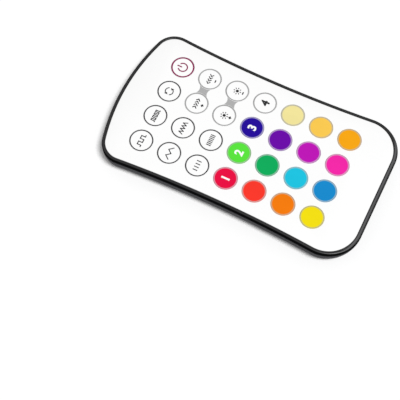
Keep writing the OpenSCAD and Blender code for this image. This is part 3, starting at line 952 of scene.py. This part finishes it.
def makeFacePanel(sizes):
    top = keypad["faceHeight"]
    edge = sizes["edge"]
    inset = sizes["inset"]
    section = [(inset, sizes["bottom"]), (inset, top - edge)]
    section += quarter(inset + edge, top - edge, edge, 0, 90, 3)[1:]
    piece = sweepSolid("facePanel", section)
    holes = cylinders("keyHoles", keyPlaces.values(), keypad["capRadius"] + keypad["capGap"],
                      sizes["bottom"] - overrun, high.z + overrun)
    cut(piece, holes)
    soften(piece, 0)
    return dress(piece, "face", "case", "face_panel", "face_white")


makeFacePanel(facePanel)
print("face panel made")


# Keys: one turned shape with its tab, copied to every place in its own plastic

def makeKeyShape(keypad):
    edge = keypad["capEdge"]
    cap = keypad["capRadius"]
    top = keypad["faceHeight"]
    small = keypad["smallEdge"]
    profile = [
        (0, keypad["plungerHeight"]),
        (keypad["plungerRadius"] - small, keypad["plungerHeight"]),
        (keypad["plungerRadius"], keypad["plungerHeight"] + small),
        (keypad["plungerRadius"], keypad["flangeBottom"]),
        (keypad["flangeRadius"] - small, keypad["flangeBottom"]),
        (keypad["flangeRadius"], keypad["flangeBottom"] + small),
        (keypad["flangeRadius"], keypad["flangeTop"] - small),
        (keypad["flangeRadius"] - small, keypad["flangeTop"]),
        (cap, keypad["flangeTop"]),
    ]
    profile += [(cap - edge + edge * math.cos(math.radians(a)),
                 top - edge + edge * math.sin(math.radians(a))) for a in (0, 22.5, 45, 67.5, 90)]
    profile += [(cap * share, top) for share in (0.9, 0.6, 0.3)] + [(0, top)]
    piece = lathe("keyShape", profile, usualSteps)
    bm = bmesh.new()
    verts = addBox(bm, (keypad["tabStart"], -keypad["tabWidth"] / 2, keypad["flangeBottom"]),
                   (keypad["tabReach"], keypad["tabWidth"] / 2, keypad["flangeTop"]))
    bmesh.ops.rotate(bm, verts=verts, cent=(0, 0, 0), matrix=Matrix.Rotation(math.pi / 4, 3, "Z"))
    join(piece, newPiece("tab", bm))
    soften(piece, 0)
    return piece


def placeKeys(shape):
    for name, (x, y) in keyPlaces.items():
        piece = copyTo(shape, "cap_" + name, x, y)
        colour = name if name in capColours else "whiteCap"
        dress(piece, colour, name, name, "cap_" + (name[4:] if name in capColours else "white"))
    bpy.data.objects.remove(shape)


placeKeys(makeKeyShape(keypad))
print("keys made:", len(keyPlaces))


# Snap domes: a thin turned sheet under each key

snapDome = {
    "radius": 3,
    "height": 0.35,
    "sheet": 0.08,
    "boardTop": 6.2,
    "pressedShare": 0.27,
    "rings": 8,
}


def makeDomeShape(sizes):
    rings = sizes["rings"]

    def arch(radius, height):
        return [(radius * i / rings, sizes["boardTop"] + height * (1 - (i / rings) ** 2))
                for i in range(rings + 1)]

    profile = arch(sizes["radius"], sizes["height"])
    profile += reversed(arch(sizes["radius"] - 2 * sizes["sheet"],
                             sizes["height"] - sizes["sheet"]))
    piece = lathe("domeShape", profile, smallSteps)
    soften(piece, 0)
    return piece


def placeDomes(shape):
    for name, (x, y) in keyPlaces.items():
        piece = copyTo(shape, "dome_" + name, x, y)
        dress(piece, "steel", "case", "snap_domes", "dome_steel")
        name + "_press"
        x * mm
        y * mm
        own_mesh(piece)
    bpy.data.objects.remove(shape)


placeDomes(makeDomeShape(snapDome))
print("snap domes made:", len(keyPlaces))


# Prints: thin raised ink on the caps and the face

prints = {
    "thickness": 0.012,
    "ringRadius": 4.4,
    "ringWidth": 0.43,
    "powerRingWidth": 0.56,
    "line": 0.38,
    "signLine": 0.46,
    "signHalf": 0.58,
    "markWidth": 5.0,
    "markHeight": 1.5,
    "stepSpan": 12,
    "discSteps": 24,
    "numberSize": 4.4,
    "numberWeight": 0.15,
}
inkTop = keypad["faceHeight"] + prints["thickness"]


class Stencil:
    # Flat marks on one key, gathered as thin raised shapes in a mesh, in the key's own place
    def __init__(self, place):
        self.place = place
        self.bm = bmesh.new()

    def band(self, outer, inner, start=0.0, stop=360.0, centre=(0, 0)):
        # An arc of a flat ring: a square section spun about the key's middle
        height = keypad["faceHeight"]
        corners = [(inner, height), (outer, height), (outer, inkTop), (inner, inkTop)]
        turn = Matrix.Rotation(math.radians(start), 3, "Z")
        middle = Vector((self.place[0] + centre[0], self.place[1] + centre[1], 0)) * mm
        verts = [self.bm.verts.new(turn @ Vector((r * mm, 0, z * mm)) + middle)
                 for r, z in corners]
        edges = [self.bm.edges.new((verts[i - 1], verts[i])) for i in range(4)]
        full = abs(stop - start) >= 360
        steps = max(6, int(abs(stop - start) * outer / prints["stepSpan"]))
        if not full:
            self.bm.faces.new(verts)
        spun = bmesh.ops.spin(self.bm, geom=verts + edges, cent=middle, axis=(0, 0, 1),
                              dvec=(0, 0, 0), angle=math.radians(stop - start), steps=steps,
                              use_merge=full, use_duplicate=False)
        if not full:
            ends = [item for item in spun["geom_last"] if isinstance(item, bmesh.types.BMEdge)]
            bmesh.ops.edgeloop_fill(self.bm, edges=ends)

    def patch(self, points):
        # A flat filled shape with its corners in order
        height = keypad["faceHeight"] * mm
        verts = [self.bm.verts.new(((self.place[0] + x) * mm, (self.place[1] + y) * mm, height))
                 for x, y in points]
        face = self.bm.faces.new(verts)
        raised = bmesh.ops.extrude_face_region(self.bm, geom=[face], use_keep_orig=True)
        tops = [item for item in raised["geom"] if isinstance(item, bmesh.types.BMVert)]
        bmesh.ops.translate(self.bm, verts=tops, vec=(0, 0, prints["thickness"] * mm))

    def stroke(self, points, width=None):
        # A line of even width through the points, its joints squared off by small overlaps
        width = width or prints["line"]
        for start, stop in zip(points, points[1:]):
            start, stop = Vector(start), Vector(stop)
            along = (stop - start).normalized() * width / 2
            side = Vector((-along.y, along.x))
            first, last = start - along, stop + along
            self.patch([first - side, last - side, last + side, first + side])

    def disc(self, radius, centre=(0, 0)):
        count = prints["discSteps"]
        angles = [math.tau * i / count for i in range(count)]
        self.patch([(centre[0] + radius * math.cos(a), centre[1] + radius * math.sin(a))
                    for a in angles])

    def finish(self, name, ink, body):
        bmesh.ops.recalc_face_normals(self.bm, faces=self.bm.faces)
        piece = newPiece(name, self.bm)
        piece.data.shade_flat()
        return dress(piece, ink, body)


def squareWave(stencil, pulses):
    # Colour jumps: steps between two levels
    width, height = prints["markWidth"], prints["markHeight"]
    step = width / (2 * pulses)
    points = [(-width / 2, -height / 2)]
    for i in range(pulses):
        left = -width / 2 + (2 * i + 0.5) * step
        points += [(left, -height / 2), (left, height / 2), (left + step, height / 2),
                   (left + step, -height / 2)]
    points.append((width / 2, -height / 2))
    stencil.stroke(points)


def slopes(stencil, peaks):
    # Colour fades: slow rises and falls
    width, height = prints["markWidth"], prints["markHeight"]
    step = width / (2 * peaks)
    stencil.stroke([(-width / 2 + i * step, height / 2 * (-1 if i % 2 == 0 else 1))
                    for i in range(2 * peaks + 1)])


def bars(stencil, count):
    # Colour flashes: short separate strokes
    width, height = prints["markWidth"], prints["markHeight"]
    for i in range(count):
        x = -width / 2 + width * (i + 0.5) / count
        stencil.stroke([(x, -height / 2), (x, height / 2)])


marks = {
    "loopRadius": 1.5,
    "loopStarts": (20, 200),
    "loopTurn": 120,
    "arrowHalf": 0.6,
    "arrowTurns": (116, 160),
    "signPlace": (0, -2.3),
    "chevronShifts": (-1.65, -0.55, 0.55, 1.65),
    "chevronHalf": (0.35, 0.65),
    "sunRadius": 0.6,
    "rays": (1.1, 1.35),
    "rayCount": 8,
    "rayWidth": 0.34,
    "powerRing": (2.0, 1.5, 125, 415),
    "powerStroke": (0.55, 2.0),
    "powerWidth": 0.5,
}


def around(radius, angle):
    return (radius * math.cos(angle), radius * math.sin(angle))


def loopArrows(stencil):
    # Runs by itself: two arrows round a loop
    radius, half, wing = marks["loopRadius"], prints["line"] / 2, marks["arrowHalf"]
    for start in marks["loopStarts"]:
        stencil.band(radius + half, radius - half, start, start + marks["loopTurn"])
        base, tip = (math.radians(start + turn) for turn in marks["arrowTurns"])
        stencil.patch([around(radius - wing, base), around(radius + wing, base),
                       around(radius, tip)])


def sign(stencil, plus):
    x, y = marks["signPlace"]
    width = prints["signLine"]
    reach = prints["signHalf"] - width / 2
    stencil.stroke([(x - reach, y), (x + reach, y)], width)
    if plus:
        stencil.stroke([(x, y - reach), (x, y + reach)], width)


def speed(stencil, plus):
    # A row of chevrons that points the way the speed goes
    halfX, halfY = marks["chevronHalf"]
    reach = halfX if plus else -halfX
    for shift in marks["chevronShifts"]:
        stencil.stroke([(shift - reach, halfY), (shift + reach, 0), (shift - reach, -halfY)])
    sign(stencil, plus)


def lamp(stencil, plus):
    # A small sun for brightness
    stencil.disc(marks["sunRadius"])
    for i in range(marks["rayCount"]):
        angle = math.radians(360 / marks["rayCount"] * i)
        stencil.stroke([around(radius, angle) for radius in marks["rays"]], marks["rayWidth"])
    sign(stencil, plus)


def power(stencil):
    stencil.band(*marks["powerRing"])
    stencil.stroke([(0, y) for y in marks["powerStroke"]], marks["powerWidth"])


# Ink, ring ink and mark of each key, the mark as a function and what it takes besides the
# stencil; the caps in colour have a tinted ring and no mark
keyMarks = {
    "key_jump_3": ("dark", "dark", squareWave, 2),
    "key_jump_7": ("dark", "dark", squareWave, 4),
    "key_auto": ("dark", "dark", loopArrows),
    "key_power": ("magenta", "magenta", power),
    "key_fade_3": ("dark", "dark", slopes, 2),
    "key_fade_7": ("dark", "dark", slopes, 4),
    "key_speed_up": ("black", "grey", speed, True),
    "key_speed_down": ("black", "grey", speed, False),
    "key_flash_3": ("dark", "dark", bars, 4),
    "key_flash_7": ("dark", "dark", bars, 7),
    "key_bright_up": ("black", "grey", lamp, True),
    "key_bright_down": ("black", "grey", lamp, False),
}
numberKeys = {"key_red": "1", "key_green": "2", "key_blue": "3", "key_white": "4"}


def printKeys():
    for name, place in keyPlaces.items():
        ink, ringInk, *mark = keyMarks.get(name, ("dark", "grey"))
        stencil = Stencil(place)
        width = prints["powerRingWidth" if ringInk == "magenta" else "ringWidth"]
        stencil.band(prints["ringRadius"], prints["ringRadius"] - width)
        stencil.finish("ring_" + name, name + "Ring" if name in capColours else ringInk + "Ink",
                       name)
        if mark:
            stencil = Stencil(place)
            mark[0](stencil, *mark[1:])
            stencil.finish("mark_" + name, ink + "Ink", name)


def printNumber(name, digit):
    # A bold plain number, made a mesh and laid on the cap
    curve = bpy.data.curves.new("number_" + name, "FONT")
    curve.body = digit
    curve.size = prints["numberSize"] * mm
    curve.align_x = "CENTER"
    curve.align_y = "CENTER"
    curve.offset = prints["numberWeight"] * mm
    curve.extrude = prints["thickness"] / 2 * mm
    shape = bpy.data.objects.new("shape", curve)
    show(shape)
    mesh = finalMesh(shape)
    bpy.data.objects.remove(shape)
    piece = bpy.data.objects.new("number_" + name, mesh)
    show(piece)
    bm = bmesh.new()
    bm.from_mesh(mesh)
    bmesh.ops.remove_doubles(bm, verts=bm.verts, dist=hair / 2 * mm)
    bmesh.ops.recalc_face_normals(bm, faces=bm.faces)
    lowest = Vector([min(v.co[i] for v in bm.verts) for i in range(2)])
    highest = Vector([max(v.co[i] for v in bm.verts) for i in range(2)])
    middle = (lowest + highest) / 2
    x, y = keyPlaces[name]
    bmesh.ops.translate(bm, verts=bm.verts, vec=(
        x * mm - middle.x, y * mm - middle.y,
        (keypad["faceHeight"] + prints["thickness"] / 2) * mm))
    bm.to_mesh(mesh)
    bm.free()
    mesh.shade_flat()
    dress(piece, "blackInk" if name == "key_white" else "whiteInk", name)


printKeys()
for name, digit in numberKeys.items():
    printNumber(name, digit)
print("prints made")


# Waisted grey links printed on the face between each pair of + and - keys

keyLinks = {
    "between": [("key_speed_up", "key_speed_down"), ("key_bright_up", "key_bright_down")],
    "clearRadius": 4.6,
    "half": (2.6, 2.72),
    "filletRadius": 2.725,
    "filletPlace": 4.375,
}


def printLinks(sizes):
    for first, second in sizes["between"]:
        (x1, y), (x2, _) = keyPlaces[first], keyPlaces[second]
        x = (x1 + x2) / 2
        halfX, halfY = sizes["half"]
        piece = box("link_" + first, (x - halfX, y - halfY, keypad["faceHeight"]),
                    (x + halfX, y + halfY, inkTop))
        for places, radius in (([(x1, y), (x2, y)], sizes["clearRadius"]),
                               ([(x, y - sizes["filletPlace"]),
                                 (x, y + sizes["filletPlace"])],
                                sizes["filletRadius"])):
            combine(piece, cylinders("cutter", places, radius, keypad["faceHeight"] - overrun,
                                     high.z + overrun, largeSteps), "DIFFERENCE")
        piece.data.shade_flat()
        dress(piece, "linkInk", "case")


printLinks(keyLinks)
print("links printed")


# Finishes of the CAD nodes that stay as they are

nodeFinishes = {
    "panel_adhesive": "tape",
    "spacer_sheet": "foam",
    "dome_film": "film",
    "dome_locator": "locator",
    "circuit_board": "board",
    "control_chip": "resin",
    "radio_chip": "resin",
    "crystal": "steel",
    "chip_capacitors": "ceramic",
    "chip_resistors": "resistor",
    "positive_contact": "nickel",
    "negative_contact": "nickel",
    "coin_cell": "cell",
    "case_screws": "zinc",
    "holding_magnets": "magnet",
}


def dressNodes(nodeFinishes):
    for name, finish in nodeFinishes.items():
        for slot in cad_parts[name].material_slots:
            slot.material = finishes[finish]


dressNodes(nodeFinishes)
print("nodes dressed:", len(nodeFinishes))


# Floor, lamps and world

studio = {
    "floorHalf": 1500,
    "floorDrop": 0.02,
    "floorColour": (0.88, 0.88, 0.88, 1),
    "floorLift": 0.14,
    "skyGlow": 0.27,
    "lampHeight": 70,
    "lampHeading": -113.5,
    "lampSpread": 15.5,
    "lampStrength": 2.55,
}


def seenDirectly(tree):
    # 1 for what the camera sees, straight or in a gloss, and 0 for what only lights the object
    path = Channel(tree)
    sight = path.node("LightPath", output="Is Camera Ray")
    gloss = path.node("LightPath", output="Is Glossy Ray")
    through = path.node("LightPath", output="Is Transmission Ray")
    return path.maths("MINIMUM", sight + gloss + through, 1.0)


def makePaper(studio):
    paper = bpy.data.materials.new("paper")
    paper.use_nodes = True
    tree = paper.node_tree
    shader = tree.nodes["Principled BSDF"]
    shader.inputs["Base Color"].default_value = studio["floorColour"]
    shader.inputs["Roughness"].default_value = 0.9
    shader.inputs["Specular IOR Level"].default_value = 0.0
    shader.inputs["Emission Strength"].default_value = studio["floorLift"]
    glow = seenDirectly(tree)
    tint = glow.node("Mix", {"data_type": "RGBA"}, {
        0: glow, 6: (0, 0, 0, 1), 7: (1, 1, 1, 1)}, 2)
    tree.links.new(tint.socket, shader.inputs["Emission Color"])
    return paper


def makeStudio(studio):
    bm = bmesh.new()
    bmesh.ops.create_grid(bm, x_segments=1, y_segments=1, size=studio["floorHalf"] * mm)
    bmesh.ops.translate(bm, verts=bm.verts, vec=(0, 0, -studio["floorDrop"] * mm))
    floor = newPiece("floor", bm)
    floor.data.materials.append(makePaper(studio))
    world = bpy.data.worlds.new("studio")
    bpy.context.scene.world = world
    world.use_nodes = True
    tree = world.node_tree
    background = tree.nodes["Background"]
    background.inputs["Color"].default_value = (1, 1, 1, 1)
    level = seenDirectly(tree) * (1 - studio["skyGlow"]) + studio["skyGlow"]
    tree.links.new(level.socket, background.inputs["Strength"])
    lampData = bpy.data.lights.new("overheadLamp", "SUN")
    lampData.energy = studio["lampStrength"]
    lampData.angle = math.radians(studio["lampSpread"])
    lamp = bpy.data.objects.new("overheadLamp", lampData)
    rise = math.radians(studio["lampHeight"])
    turn = math.radians(studio["lampHeading"])
    towards = Vector((math.cos(turn) * math.cos(rise), math.sin(turn) * math.cos(rise),
                      math.sin(rise)))
    lamp.rotation_euler = towards.to_track_quat("Z", "Y").to_euler()
    show(lamp)


makeStudio(studio)
bpy.context.scene.view_settings.view_transform = "Standard"
print("studio made")
